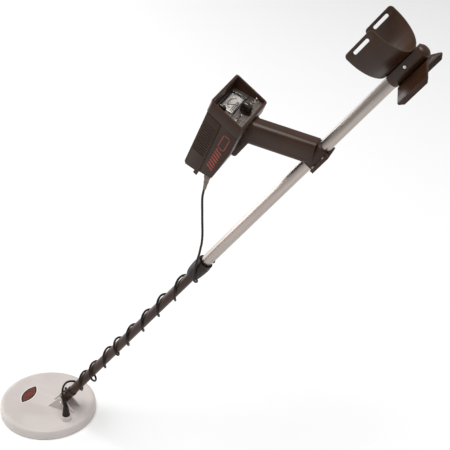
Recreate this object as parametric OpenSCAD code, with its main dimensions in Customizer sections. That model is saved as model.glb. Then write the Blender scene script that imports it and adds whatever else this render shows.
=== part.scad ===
/* [Stem] */
// Angle between the stem and the ground, in degrees
stem_tilt = 54; // [45:1:60]
// Outside diameter of the silver upper tube
tube_d = 22.2; // [20.5:0.1:26]
// Wall of the silver upper tube
tube_wall = 1.35; // [1:0.05:1.8]
// Length of the silver upper tube
tube_l = 630; // [600:5:760]
// Wall of the brown lower stem
stem_wall = 1.6; // [1.2:0.1:2.5]
// Distance from the coil's pivot to the front of the locking collar
collar_s = 487; // [440:1:560]
// How far the lower stem slides into the upper tube
stem_travel = 150; // [100:50:150]
// Length of the locking collar
collar_l = 45; // [40:1:55]
// Outside diameter of the collar's wide rear end
collar_d = 31; // [30:0.5:36]

/* [Search coil] */
// Diameter of the search coil
coil_d = 203; // [170:1:260]
// Height of the search coil
coil_h = 22; // [20:0.5:28]
// Wall of the coil's shells
coil_wall = 2.5; // [2:0.25:3.5]
// Height of the pivot above the ground
pivot_h = 40; // [38:1:50]
// Distance from the coil's centre back to the pivot
pivot_back = 39; // [30:1:50]
// Length of each ear where it meets the coil
ear_l = 67; // [50:1:80]
// Thickness of each ear
ear_t = 4; // [3:0.5:5]
// Diameter of the pivot bolt
bolt_d = 6; // [5:0.5:7]

/* [Electronics housing] */
// Half of the housing's width
box_w = 60; // [56:1:70]
// Wall of the housing
box_wall = 2.5; // [2:0.25:3.5]
// Depth of the hood band around the panel
hood_l = 21; // [16:1:26]
// Thickness of the control panel
panel_t = 2; // [1.5:0.25:3]
// Tilt of the panel inside the hood, in degrees
panel_tilt = 16; // [10:1:18]
// Diameter of the large knob
knob_d = 22; // [18:1:24]
// Diameter of the small knob
small_knob_d = 15; // [12:1:18]
// Bore of the headphone jack
jack_d = 6.4; // [6.35:0.05:6.6]

/* [Grip] */
// Front-to-back depth of the grip
grip_depth = 44; // [36:1:50]
// Width of the grip across the hand
grip_w = 34; // [28:1:38]
// Forward lean of the grip, in degrees
grip_lean = 28.5; // [22:0.5:32]
// Length of the clamp on the tube
clamp_l = 42; // [38:1:50]

/* [Arm rest] */
// Inside radius of the arm cuff
cuff_r = 58; // [48:1:66]
// Wall of the arm cuff
cuff_wall = 3; // [2.5:0.25:4]
// Length of the arm cuff along the stem
cuff_l = 65; // [54:1:80]
// Width of the strap slots
slot_w = 6; // [5:0.5:8]
// Length of the strap slots
slot_l = 36; // [28:1:42]
// Wall of the stand legs
leg_t = 4.5; // [3.5:0.5:6]

/* [Fits] */
// Gap on each side between parts that slide or turn
run_gap = 0.3; // [0.2:0.05:0.4]
// Radial gap of a pin in its hole
pin_gap = 0.08; // [0.05:0.01:0.1]

/* [Hidden] */
$fn = 64;

plastic = "#42352f";
plastic_dark = "#2f2622";
black = "#1c1b1a";
silver = "#bdb6b0";
coil_grey = "#cdc5c1";
panel_grey = "#b9aca6";
red = "#7d3a2d";

// The stem frame: X to the user's right, Y square to the stem and upwards,
// Z along the stem from the pivot towards the user's elbow.
// The part's origin is the middle of the grip.
grip_origin_n = 62;
grip_foot_s = 863;
grip_origin_s = grip_foot_s - (grip_origin_n - 11) * tan(grip_lean);
pivot_y = grip_origin_s * cos(stem_tilt) - grip_origin_n * sin(stem_tilt);
pivot_z = -grip_origin_s * sin(stem_tilt) - grip_origin_n * cos(stem_tilt);

module stem_frame() translate([0, pivot_y, pivot_z]) rotate([90 - stem_tilt, 0, 0]) children();
module coil_frame() translate([0, pivot_y + pivot_back, pivot_z - pivot_h]) children();

// A 2D shape in (n, s) becomes a slab from x = w0 to x = w1.
module slab(w0, w1) translate([w0, 0, 0]) rotate([90, 0, 90]) linear_extrude(w1 - w0) children();
// A ring around the stem's axis from s0 to s1.
module ring(ro, ri, s0, s1) translate([0, 0, s0]) difference() {
  cylinder(r = ro, h = s1 - s0);
  translate([0, 0, -1]) cylinder(r = ri, h = s1 - s0 + 2);
}
module mirrored() {
  children();
  mirror([1, 0, 0]) children();
}

// Outline helpers: unit vector, inward normal of a clockwise edge, and a convex outline moved inwards.
function unit(v) = v / norm(v);
function inward(a, b) = let (u = unit(b - a)) [u[1], -u[0]];
function inset(p, d) = [for (i = [0 : len(p) - 1])
  let (a = p[(i + len(p) - 1) % len(p)], b = p[i], c = p[(i + 1) % len(p)],
       m = inward(a, b), k = inward(b, c))
  b + (m + k) * d / (1 + m * k)];
// The same outline with each corner replaced by an arc of radius r in five steps.
function arc_corner(a, b, c, r) =
  let (u = unit(a - b), v = unit(c - b), half = acos(u * v) / 2, m = unit(u + v),
       o = b + m * r / sin(half), p = b + u * r / tan(half) - o, q = b + v * r / tan(half) - o,
       swing = 180 - 2 * half, side = p[0] * q[1] - p[1] * q[0] > 0 ? 1 : -1)
  [for (k = [0 : 4]) let (t = side * swing * k / 4)
    o + [p[0] * cos(t) - p[1] * sin(t), p[0] * sin(t) + p[1] * cos(t)]];
function rounded(p, r) = [for (i = [0 : len(p) - 1])
  each arc_corner(p[(i + len(p) - 1) % len(p)], p[i], p[(i + 1) % len(p)], r)];
// Arc of a circle as a point list.
function arc(c, r, a0, a1, steps) = [for (k = [0 : steps]) let (t = a0 + (a1 - a0) * k / steps)
  c + r * [cos(t), sin(t)]];

// ---------------------------------------------------------------- search coil
coil_r = coil_d / 2;
coil_split = 8;
ear_gap = 21;
ear_x = ear_gap / 2 + ear_t / 2;
boss_x = -37.5;
boss_y = -63.5;
boss_r = 10;
boss_h = 10.5;
cable_d = 4.4;
cable_r = cable_d / 2;
winding_r = coil_r - 12;
receive_r = coil_r * 0.42;

ear_round = 11;
module coil_top_shell() color(coil_grey) coil_frame() difference() {
  union() {
    rotate_extrude($fn = 128) polygon(concat(
      [[0, coil_h - 0.8], [coil_r - 12, coil_h - 0.8], [coil_r - 10, coil_h]],
      arc([coil_r - 5, coil_h - 5], 5, 80, 0, 6),
      [[coil_r, coil_split], [coil_r - coil_wall, coil_split],
       [coil_r - coil_wall, coil_h - 5], [coil_r - 7, coil_h - coil_wall - 0.8],
       [0, coil_h - coil_wall - 0.8]]));
    mirrored() translate([ear_x - ear_t / 2, 0, 0]) rotate([90, 0, 90]) linear_extrude(ear_t)
      polygon(concat([[-pivot_back - ear_l / 2, coil_h - coil_wall]],
        arc([-pivot_back, pivot_h], ear_round, 150, 30, 8),
        [[-pivot_back + ear_l / 2, coil_h - coil_wall]]));
    translate([boss_x, boss_y, coil_h - coil_wall - 0.8])
      cylinder(r = boss_r, h = boss_h + coil_wall + 0.8);
  }
  translate([0, -pivot_back, pivot_h]) rotate([0, 90, 0])
    cylinder(d = bolt_d + 2 * pin_gap, h = 60, center = true);
  translate([boss_x, boss_y, -1]) cylinder(r = 5, h = coil_h + boss_h + 2);
}

module coil_bottom_cover() color(coil_grey) coil_frame() rotate_extrude($fn = 128) polygon(concat(
  [[0, 0]], arc([coil_r - 3, 3], 3, -90, 0, 5),
  [[coil_r, coil_split], [coil_r - coil_wall, coil_split],
   [coil_r - coil_wall, coil_wall + 1], [coil_r - coil_wall - 1, coil_wall], [0, coil_wall]]));

module coil_winding(r, w, h) color("#a8643a") coil_frame() translate([0, 0, coil_wall])
  rotate_extrude($fn = 96) translate([r - w / 2, 0]) square([w, h]);
module transmit_winding() coil_winding(winding_r, 9, 10);
module receive_winding() coil_winding(receive_r, 7, 10);

label_l = 64;
label_w = 29;
module coil_label() color(red) coil_frame() translate([2.8, 48, coil_h - 0.8])
  linear_extrude(0.6) polygon(lens_outline(label_l, label_w));
// A pointed lens: two arcs that meet at both ends.
function lens_outline(l, w) = let (r = (l * l / 4 + w * w / 4) / w, a = asin(l / 2 / r)) concat(
  arc([0, w / 2 - r], r, 90 + a, 90 - a, 16),
  [for (p = arc([0, r - w / 2], r, 270 + a, 270 - a, 16)) if (abs(p[0]) < l / 2 - 0.1) p]);

boot_top = [-28, -52, 70];
boot_base = [boss_x, boss_y, coil_h + boss_h];
module along(a, b) let (v = b - a, l = norm(v))
  translate(a) rotate([0, acos(v[2] / l), atan2(v[1], v[0])]) children();
boot_cone_h = 24;
boot_knee = boot_base + [0, 0, boot_cone_h];
boot_l = norm(boot_top - boot_knee);
boot_rib_h = 2.2;
boot_pitch = 3.5;
// A plain cone standing on the boss, then a ribbed sleeve that leans with the cable
module cable_boot() color(black) coil_frame() {
  translate(boot_base - [0, 0, 8]) cylinder(r = 4.8, h = 8.2);
  translate(boot_base) cylinder(r1 = 8.2, r2 = 5.4, h = boot_cone_h);
  difference() {
    union() {
      translate(boot_knee) sphere(r = 5.4);
      along(boot_knee, boot_top) cylinder(r1 = 4.4, r2 = 3.2, h = boot_l - 1);
      along(boot_knee, boot_top) for (k = [0 : 4]) translate([0, 0, 2.5 + k * boot_pitch])
        cylinder(r = 5.3 - k * 0.35, h = boot_rib_h);
    }
    along(boot_knee, boot_top) translate([0, 0, boot_l - 14]) cylinder(r = cable_r, h = 15);
  }
}

// -------------------------------------------------------------- pivot and stem
stem_d = tube_d - 2 * tube_wall - 2 * run_gap;
stem_r = stem_d / 2;
tube_r = tube_d / 2;
tongue_w = 16;
foot_r = 11;
head_x = ear_x + ear_t / 2;
nut_x = head_x + 0.2;

module on_pivot() coil_frame() translate([0, -pivot_back, pivot_h]) rotate([0, 90, 0]) children();
module pivot_bolt() color("#d8d4cf") on_pivot() {
  translate([0, 0, -head_x - 2.6]) cylinder(r1 = 3.4, r2 = 4.4, h = 2.6);
  translate([0, 0, -head_x - 0.5]) cylinder(d = bolt_d, h = head_x + nut_x + 10);
}
wing_t = 2.2;
wing_turn = 54;
module wing_nut() color(black) on_pivot() translate([0, 0, nut_x]) difference() {
  union() {
    cylinder(r1 = 5.6, r2 = 4.6, h = 7);
    rotate([0, 0, wing_turn]) for (side = [0, 180]) rotate([0, 0, side])
      translate([-wing_t / 2, 3, 0]) rotate([90, 0, 90]) linear_extrude(wing_t)
        polygon(rounded([[0, 6.5], [9, 10.5], [12, 8], [11, 5], [0, 2]], 0.8));
  }
  translate([0, 0, -5]) cylinder(d = bolt_d + 2 * pin_gap, h = 30);
}

plug_l = 26;
module stem_foot() color(plastic_dark) stem_frame() difference() {
  union() {
    translate([0, 0, 24]) cylinder(r = stem_r, h = 4);
    translate([0, 0, 26]) cylinder(r = stem_r - stem_wall - 0.02, h = plug_l);
    translate([-tongue_w / 2, -8.5, 0]) cube([tongue_w, 17, 25]);
    translate([-tongue_w / 2, 0, 0]) rotate([0, 90, 0]) cylinder(r = foot_r - 2, h = tongue_w);
  }
  rotate([0, 90, 0]) cylinder(d = bolt_d + 2 * pin_gap, h = 60, center = true);
}
washer_t = ear_gap / 2 - tongue_w / 2 - 0.15;
module friction_washers() color("#141414") stem_frame() mirrored() translate([tongue_w / 2, 0, 0])
  rotate([0, 90, 0]) difference() {
    cylinder(r = 8, h = washer_t);
    translate([0, 0, -1]) cylinder(d = bolt_d + 2 * pin_gap, h = washer_t + 2);
  }

// Hook-and-loop tie that holds the cable at the foot of the stem, with its loose tail
tie_s = 31;
tie_w = 6;
module cable_tie() color("#1d1815") stem_frame() {
  ring(stem_r + 1.2, stem_r + 0.02, tie_s, tie_s + tie_w);
  slab(-15, -6) polygon([[7.8, tie_s + 3], [12.2, tie_s - 2], [12.6, tie_s - 16],
    [13.8, tie_s - 16], [13.8, tie_s - 1], [9.5, tie_s + 5]]);
}

stem_s = 28;
stem_end = collar_s + 200;
button_s = 544;
button_r = 2.8;
module button_axis(s) translate([0, 0, s]) rotate([90, 0, 0]) children();
module lower_stem() color(plastic) stem_frame() difference() {
  ring(stem_r, stem_r - stem_wall, stem_s, stem_end);
  button_axis(button_s) cylinder(r = button_r + 0.3, h = 20);
}
module stem_end_plug() color(black) stem_frame() {
  translate([0, 0, stem_end]) cylinder(r = stem_r, h = 2.5);
  translate([0, 0, stem_end - 12]) cylinder(r = stem_r - stem_wall - 0.02, h = 12.5);
}
button_out = tube_r + 1.9;
module snap_button() color(black) stem_frame() button_axis(button_s) translate([0, 0, 4.6]) union() {
  cylinder(r = button_r, h = button_out - 4.6 - 1);
  translate([0, 0, button_out - 5.6]) cylinder(r1 = button_r, r2 = button_r - 1, h = 1);
  cylinder(r = button_r + 1.4, h = 1.2);
}
spring_t = 0.6;
module snap_spring() color("#8f8f92") stem_frame() slab(-2.5, 2.5) polygon([
  [-4.6, button_s - 4], [-4.6, button_s + 5], [6.8, button_s + 48], [7.2, button_s + 8],
  [7.2 - spring_t, button_s + 8], [6.3, button_s + 43], [-4.6 + spring_t, button_s + 4.6],
  [-4.6 + spring_t, button_s - 4]]);

// ---------------------------------------------------------------------- collar
collar_r = collar_d / 2;
insert_r = tube_r + 1.2;
bore_r = insert_r + run_gap;
collar_end = collar_s + collar_l;
tube_s = collar_s + 12;
lip_l = 2.5;
pocket_r = stem_r + 1.6;
rib_count = 18;
rib_up = 0.5;
collar_wide = 0.7;
// The collar swells to its widest place and rounds in again towards its rear end.
function collar_swell(t) = 1 - pow((t - collar_wide) / collar_wide, 2);
function collar_point(t, up) =
  [bore_r + up + (collar_r - bore_r) * collar_swell(t), collar_s + t * collar_l];
collar_shape = [for (k = [0 : 12]) collar_point(k / 12, 0)];
rib_shape = [for (k = [1 : 10]) collar_point(k / 12, rib_up)];
module locking_collar() color(black) stem_frame() union() {
  rotate_extrude() polygon(concat([[stem_r + run_gap, collar_s]], collar_shape,
    [[bore_r, collar_end], [bore_r, tube_s + 1], [pocket_r, collar_s + lip_l],
     [stem_r + run_gap, collar_s + lip_l]]));
  for (k = [1 : rib_count]) rotate([0, 0, k * 360 / rib_count]) slab(-0.8, 0.8)
    polygon(concat(rib_shape, [[bore_r + 0.6, collar_end - 9], [bore_r + 0.6, tube_s + 1],
      [bore_r - 0.6, collar_s + 8]]));
}
module collar_insert() color(plastic_dark) stem_frame()
  ring(insert_r, tube_r + 0.01, tube_s + 2, collar_end - 1);
collet_l = tube_s - collar_s - lip_l - 1;
module collet() color("#5d5a57") stem_frame() difference() {
  translate([0, 0, collar_s + lip_l + 0.5]) difference() {
    cylinder(r1 = pocket_r - run_gap, r2 = bore_r - run_gap - 0.3, h = collet_l);
    translate([0, 0, -1]) cylinder(r = stem_r + pin_gap, h = collet_l + 2);
  }
  translate([-0.6, 0, collar_s]) cube([1.2, 20, 20]);
}

// ------------------------------------------------------------------ upper tube
tube_end = tube_s + tube_l;
hole_step = 25;
hole_count = floor(stem_travel / hole_step);
module upper_tube() color(silver) stem_frame() difference() {
  ring(tube_r, tube_r - tube_wall, tube_s, tube_end);
  for (k = [0 : hole_count]) button_axis(button_s + k * hole_step)
    cylinder(r = button_r + 0.35, h = 20);
}

// ------------------------------------------------------------------------ grip
clamp_s = 843;
clamp_r = tube_r + 4.5;
flange_t = 3.3;
flange_n = -10;
cap_t = 3.2;
cap_n = flange_n - flange_t - 0.2;
pad_x = 8;
clamp_screw_x = clamp_r + 2.9;
flange_x = clamp_screw_x + 3.2;
clamp_screw_s = [clamp_s + 8, clamp_s + clamp_l - 8];
head_w = 17;
head_n = 97.5;
housing_screw_s = [767.5, 784];
box_bottom_gap = 0.2;
grip_round = 10;
grip_foot_n = 11;
grip_top = 92;
module flange_screw_holes() for (s = clamp_screw_s) mirrored() translate([clamp_screw_x, 10, s])
  rotate([90, 0, 0]) cylinder(r = 1.6, h = 40);
module grip() color(plastic) stem_frame() difference() {
  union() {
    // The post, leaning forwards from the tube to the housing
    translate([0, grip_foot_n, grip_foot_s]) rotate([-90 - grip_lean, 0, 0]) rotate([0, 0, 90])
      translate([0, 0, -8]) linear_extrude(grip_top + 40) offset(r = grip_round)
        square([grip_depth - 2 * grip_round, grip_w - 2 * grip_round], center = true);
    // The saddle over the tube and its two flanges
    translate([0, 0, clamp_s]) cylinder(r = clamp_r, h = clamp_l);
    slab(-clamp_r, clamp_r) translate([flange_n, clamp_s]) square([-flange_n, clamp_l]);
    slab(-flange_x, flange_x) translate([flange_n - flange_t, clamp_s]) square([flange_t, clamp_l]);
    // The head that bolts under the housing
    slab(-head_w, head_w) polygon(rounded(head_outline, head_round));
  }
  translate([0, 0, clamp_s - 30]) cylinder(r = tube_r + 0.01, h = clamp_l + 60);
  slab(-tube_r - 0.01, tube_r + 0.01) translate([-40, clamp_s - 30]) square([40, clamp_l + 60]);
  slab(-40, 40) translate([-60, clamp_s - 30]) square([60 + flange_n - flange_t, clamp_l + 60]);
  slab(-40, 40) polygon(under_box);
  flange_screw_holes();
  housing_screw_places(1.7, 60, 5);
}
// Holes for the screws from the grip's head up into the housing, with room for their heads.
module housing_screw_places(r, h, head_r) for (s = housing_screw_s) mirrored() {
  translate([11, 90, s]) rotate([-90, 0, 0]) cylinder(r = r, h = h);
  translate([11, 90, s]) rotate([-90, 0, 0]) cylinder(r = head_r, h = head_n - 88);
}
// The cap under the tube, with a raised pad that grips it
module grip_clamp() color(plastic) stem_frame() difference() {
  union() {
    slab(-flange_x, flange_x) translate([cap_n - cap_t, clamp_s]) square([cap_t, clamp_l]);
    slab(-pad_x, pad_x) translate([cap_n - 1, clamp_s]) square([1 - cap_n - tube_r + 1.2, clamp_l]);
  }
  translate([0, 0, clamp_s - 1]) cylinder(r = tube_r + 0.01, h = clamp_l + 2);
  flange_screw_holes();
}
module screw(head_r, head_h, r, l) {
  cylinder(r = head_r, h = head_h);
  translate([0, 0, -l]) cylinder(r = r, h = l + 0.5);
}
module clamp_screws() color("#d8d4cf") stem_frame() for (s = clamp_screw_s) mirrored()
  translate([clamp_screw_x, flange_n + 0.02, s]) rotate([-90, 0, 0]) screw(2.8, 1.9, 1.5, 6.4);

// --------------------------------------------------------------------- housing
// Side outline of the housing in (n, s), clockwise seen from the right.
rim_s = 836;
hood_s = rim_s - hood_l;
hood_grow = 2;
box_outline = [[156.5, 706], [102.5, 719], [108, 781], [122, rim_s], [191, rim_s]];
nose_r = 5;
speaker_x = 38.5;
speaker_s = 757;
function box_floor(s) = 102.5 + (s - 719) * (108 - 102.5) / (781 - 719);
under_box = [[102, 690], [102.5 - box_bottom_gap, 719], [108 - box_bottom_gap, 781],
  [hood_low(hood_s) - box_bottom_gap, hood_s - 0.4],
  [hood_low(hood_s) - hood_grow - 0.3, hood_s - 0.4],
  [hood_low(rim_s) - hood_grow - 0.3, rim_s], [160, rim_s + 40], [250, rim_s + 40], [250, 690]];
head_round = 6;
head_outline = [[130, 756], [head_n, 756], [head_n, 826], [130, 832]];
top_slope = (191 - 156.5) / (rim_s - 706);
function on_top(s) = 156.5 + (s - 706) * top_slope;
door_t = 2;
door_h = 29;
door_edge = 3;
door_front = 709;
door_back = hood_s - 1;
door_slope = atan(top_slope);
function door_top(s) = on_top(s) - door_edge;
function door_low(s) = on_top(s) - door_edge - door_h;
battery_size = [26.5, 17.5, 48.5];
battery_x = box_w - box_wall - battery_size[0] - 1;
pocket_s = 722;
socket_n = 116;
socket_s = 716;
socket_x = -36;
socket_tilt = 155;
module socket_axis() stem_frame() translate([socket_x, socket_n, socket_s]) rotate([socket_tilt, 0, 0])
  children();

module housing_body() color(plastic) difference() {
  union() {
    stem_frame() difference() {
      slab(-box_w, box_w) polygon(rounded(box_outline, nose_r));
      slab(-box_w + box_wall, box_w - box_wall) polygon(rounded(inset(box_outline, box_wall), nose_r - 2));
      // Open rear end for the panel, and the seat of the hood
      slab(-box_w - 1, box_w + 1) translate([90, hood_s + 6]) square([120, 60]);
      // Door seats and battery openings on both sides
      mirrored() slab(box_w - door_t * 0.6, box_w + 1) polygon(door_seat);
      mirrored() pocket_frame() translate([box_w - box_wall - 1, -1, -1])
        cube([box_wall + 2, battery_size[1] + 2, battery_size[2] + 3]);
      // Speaker openings in the underside, to the right of the grip
      for (k = [0 : 4]) translate([speaker_x - 13.5 + 6 * k, 96, speaker_s - 14])
        cube([3, 16, 28]);
      housing_screw_places(1.6, 40, 1);
    }
    socket_axis() translate([0, 0, -8]) cylinder(r = 9.5, h = 11);
  }
  socket_axis() translate([0, 0, -14]) cylinder(r = 6.5, h = 30);
}
module pocket_frame() translate([0, door_low(pocket_s) + 5, pocket_s])
  rotate([-door_slope, 0, 0]) children();
door_seat = [[door_low(680) - 0.4, 680], [door_low(door_back) - 0.4, door_back + 0.4],
  [door_top(door_back) + 0.4, door_back + 0.4], [door_top(680) + 0.4, 680]];
door_plate = [[door_low(door_front + 3), door_front + 3], [door_low(door_back), door_back],
  [door_top(door_back), door_back], [door_top(door_front - 2), door_front - 2]];
door_tab = [[door_low(door_front), door_front - 4], [door_low(door_front + 6), door_front + 6],
  [door_low(door_front + 6) + 8, door_front + 6], [door_low(door_front) + 8, door_front - 4]];

hood_round = 6;
hole_round = 2.5;
function hood_low(s) = 108 + (s - 781) * 14 / (rim_s - 781);
// A block that follows the housing from s0 to s1, grown by d, with its long edges rounded.
module hood_block(s0, s1, d, r) hull() for (s = [s0, s1 - 0.01]) translate([0, 0, s])
  linear_extrude(0.01) offset(r = r) translate([-box_w - d + r, hood_low(s) - d + r])
    square([2 * (box_w + d - r), on_top(s) - hood_low(s) + 2 * (d - r)]);
module hood() color(plastic) stem_frame() difference() {
  hood_block(hood_s, rim_s, hood_grow, hood_round);
  hood_block(hood_s - 9, rim_s + 9, -box_wall, hole_round);
  // The rear end of the housing slides inside the front half of the hood
  slab(-box_w - 0.1, box_w + 0.1) polygon(hood_sleeve);
}
hood_sleeve = [[hood_low(hood_s - 5) - 0.1, hood_s - 5], [hood_low(hood_s + 6) - 0.1, hood_s + 6.1],
  [on_top(hood_s + 6) + 0.1, hood_s + 6.1], [on_top(hood_s - 5) + 0.1, hood_s - 5]];

// -------------------------------------------------------------- control panel
panel_s = 831;
panel_gap = 0.3;
panel_n = hood_low(panel_s) + box_wall + panel_gap + 0.3;
// The panel stops just under the hood's roof
panel_h = (156.5 - panel_n - box_wall - 2 * panel_gap + (panel_s - 706) * top_slope)
  / (cos(panel_tilt) + top_slope * sin(panel_tilt));
module panel_frame() stem_frame() translate([0, panel_n, panel_s]) rotate([-panel_tilt, 0, 0]) children();
meter_x = 8;
meter_y = 42.5;
meter_w = 68;
meter_h = 29;
meter_up = 3;
meter_rim = 1.3;
meter_wall = 1.2;
module meter_block(inset, z0, z1) translate([-meter_w / 2 + inset, -meter_h / 2 + inset, z0])
  cube([meter_w - 2 * inset, meter_h - 2 * inset, z1 - z0]);
knob_x = 2;
knob_y = 14.5;
small_x = -42;
small_y = 45;
left_x = -38;
right_x = 36;
switch_y = 15;
jack_x = 51;
jack_y = 10;
panel_round = 3.5;
module panel_hole(x, y, r) translate([x, y, -20]) cylinder(r = r, h = 40);
module control_panel() color(panel_grey) panel_frame() difference() {
  translate([-box_w + box_wall + panel_gap + panel_round, panel_round, -panel_t])
    linear_extrude(panel_t) offset(r = panel_round)
      square([2 * (box_w - box_wall - panel_gap - panel_round), panel_h - 2 * panel_round]);
  translate([meter_x, meter_y, 0]) meter_block(meter_rim - 0.2, -20, 20);
  panel_hole(knob_x, knob_y, 5);
  panel_hole(small_x, small_y, 5);
  panel_hole(left_x, switch_y, 3.1);
  panel_hole(right_x, switch_y, 3.1);
  panel_hole(jack_x, jack_y, 4.6);
}
module meter_case() color(black) panel_frame() translate([meter_x, meter_y, 0]) difference() {
  union() {
    meter_block(0, 0.02, meter_up - 1.5);
    meter_block(meter_rim, -16, 1);
  }
  meter_block(meter_rim + meter_wall, -1.5, 20);
  meter_block(6, -14.5, 20);
}
module meter_dial() color("#e6ddd5") panel_frame() translate([meter_x, meter_y, 0])
  meter_block(meter_rim + meter_wall + 0.2, -1.48, -0.68);
needle_y = -meter_h / 2 + 5;
needle_l = 18;
module meter_needle() color("#b03a28") panel_frame() translate([meter_x, meter_y + needle_y, 0])
  rotate([0, 0, 42]) union() {
    translate([0, 0, -0.3]) cylinder(r = 1.6, h = 1.4);
    translate([-0.3, 0, 0]) cube([0.6, needle_l, 0.6]);
  }
module meter_lens() color("#dfe8ea", 0.35) panel_frame() translate([meter_x, meter_y, 0]) difference() {
  meter_block(0, meter_up - 1.45, meter_up);
  meter_block(meter_wall, meter_up - 2, meter_up - 0.8);
}
shaft_d = 6;
module knob(x, y, d, h) panel_frame() translate([x, y, 0.5]) difference() {
  union() {
    cylinder(r = d / 2, h = 2.2);
    cylinder(r1 = d / 2 - 2, r2 = d / 2 - 3, h = h);
    for (k = [0 : 15]) rotate([0, 0, k * 22.5]) translate([d / 2 - 3, -0.5, 1]) cube([1, 1, h - 2.5]);
    translate([-1, 0, 2]) cube([2, d / 2 - 0.4, h - 3.5]);
  }
  translate([0, 0, -1]) cylinder(d = shaft_d + 2 * pin_gap, h = h - 1);
}
module large_knob() color(black) knob(knob_x, knob_y, knob_d, 14);
module small_knob() color(black) knob(small_x, small_y, small_knob_d, 14);
module potentiometer(x, y) translate([x, y, 0]) {
  translate([0, 0, -panel_t - 12]) cylinder(r = 8.5, h = 12);
  translate([0, 0, -panel_t - 0.5]) cylinder(r = 4.7, h = panel_t + 0.7);
  cylinder(d = shaft_d, h = 9);
}
module potentiometers() color("#8f8b86") panel_frame() {
  potentiometer(knob_x, knob_y);
  potentiometer(small_x, small_y);
}
lever_r = 1.5;
module switch_body(x) color("#a9a49e") panel_frame() translate([x, switch_y, 0]) difference() {
  union() {
    translate([-4, -6.5, -panel_t - 10]) cube([8, 13, 10]);
    cylinder(r = 3, h = 5);
    translate([0, 0, -panel_t - 0.5]) cylinder(r = 3, h = panel_t + 1);
    translate([0, 0, 0.02]) cylinder(r = 4.6, h = 1.8, $fn = 6);
  }
  translate([0, 0, -2]) cylinder(r = lever_r + 0.9, h = 20);
}
module lever(x) color("#e4e0db") panel_frame() translate([x, switch_y, 1]) rotate([14, 0, 0]) union() {
  rotate([0, 90, 0]) cylinder(r = lever_r + 0.45, h = 2.2, center = true);
  cylinder(r1 = lever_r - 0.45, r2 = lever_r + 0.3, h = 13);
  translate([0, 0, 13]) sphere(r = lever_r + 0.3, $fn = 24);
}
module left_switch() switch_body(left_x);
module right_switch() switch_body(right_x);
module left_lever() lever(left_x);
module right_lever() lever(right_x);
module headphone_jack() color("#b8b4ae") panel_frame() translate([jack_x, jack_y, 0]) difference() {
  union() {
    cylinder(r = 5.6, h = 2, $fn = 6);
    translate([0, 0, -14]) cylinder(r = 4.5, h = 15);
  }
  translate([0, 0, -12]) cylinder(d = jack_d, h = 20);
}
board_n = 116;
module circuit_board() color("#2f6b46") stem_frame() {
  translate([-50, board_n, 732]) rotate([-11, 0, 0]) {
    cube([66, 1.6, 60]);
    for (x = [6 : 15 : 52], z = [6, 36]) translate([x, 1.4, z]) cube([8, 3.2, 18]);
    for (x = [10, 26, 44, 58]) translate([x, 1.4, 30]) rotate([-90, 0, 0]) cylinder(r = 2.6, h = 8);
  }
}
floor_slope = 5.07;
module speaker() color("#4c4a48") stem_frame()
  translate([speaker_x, box_floor(speaker_s) + box_wall + 0.4, speaker_s])
  rotate([-90 - floor_slope, 0, 0]) {
    cylinder(r = 16.5, h = 1.6);
    cylinder(r1 = 15.5, r2 = 9, h = 7);
    translate([0, 0, 6]) cylinder(r = 8.5, h = 6);
  }
module battery() translate([battery_x, 0.3, 0.5]) cube(battery_size);
module battery_left() color("#30343a") stem_frame() mirror([1, 0, 0]) pocket_frame() battery();
module battery_right() color("#30343a") stem_frame() pocket_frame() battery();
module battery_clips() color(black) stem_frame() mirrored() pocket_frame()
  translate([battery_x + 1, 1, battery_size[2] + 0.52]) cube([battery_size[0] - 2, 15, 5]);

rib_step = 4.2;
module battery_door() {
  slab(box_w - door_t * 0.5, box_w + door_t) union() {
    polygon(door_plate);
    polygon(door_tab);
  }
  // Ribs across the door, square to its length
  for (k = [0 : 13]) let (s = door_back - 18 - rib_step * k)
    slab(box_w + door_t - 0.1, box_w + door_t + 0.9)
      polygon([[door_low(s) + 5, s], [door_low(s) + 5, s + 2], [door_top(s), s + 2], [door_top(s), s]]);
}
module battery_door_left() color(plastic) stem_frame() mirror([1, 0, 0]) battery_door();
module battery_door_right() color(plastic) stem_frame() battery_door();

thread_r = 4.2;
module cable_socket() color("#9a9089") socket_axis() difference() {
  union() {
    translate([0, 0, -10]) cylinder(r = 6.4, h = 13.1);
    translate([0, 0, 3.02]) cylinder(r = 7.6, h = 2.2);
    cylinder(r = thread_r, h = 10);
  }
  translate([0, 0, 4]) cylinder(r = 3, h = 10);
}
plug_end = 43;
module cable_plug() color("#9a9089") socket_axis() difference() {
  union() {
    translate([0, 0, 5.4]) cylinder(r = 5.8, h = 15);
    translate([0, 0, 20.3]) cylinder(r1 = 5, r2 = 4.4, h = 10);
    translate([0, 0, 30]) cylinder(r1 = 4, r2 = 2.9, h = plug_end - 30);
    for (k = [0 : 11]) rotate([0, 0, k * 30]) translate([5.4, -0.7, 8]) cube([0.9, 1.4, 10]);
  }
  translate([0, 0, 4]) cylinder(r = thread_r + pin_gap, h = 7);
  translate([0, 0, plug_end - 6]) cylinder(r = cable_r, h = 10);
}
module housing_screws() color("#3a3836") stem_frame() for (s = housing_screw_s) mirrored()
  translate([11, head_n + 1.95, s]) rotate([90, 0, 0]) screw(3.2, 1.6, 1.5, 17);

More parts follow.
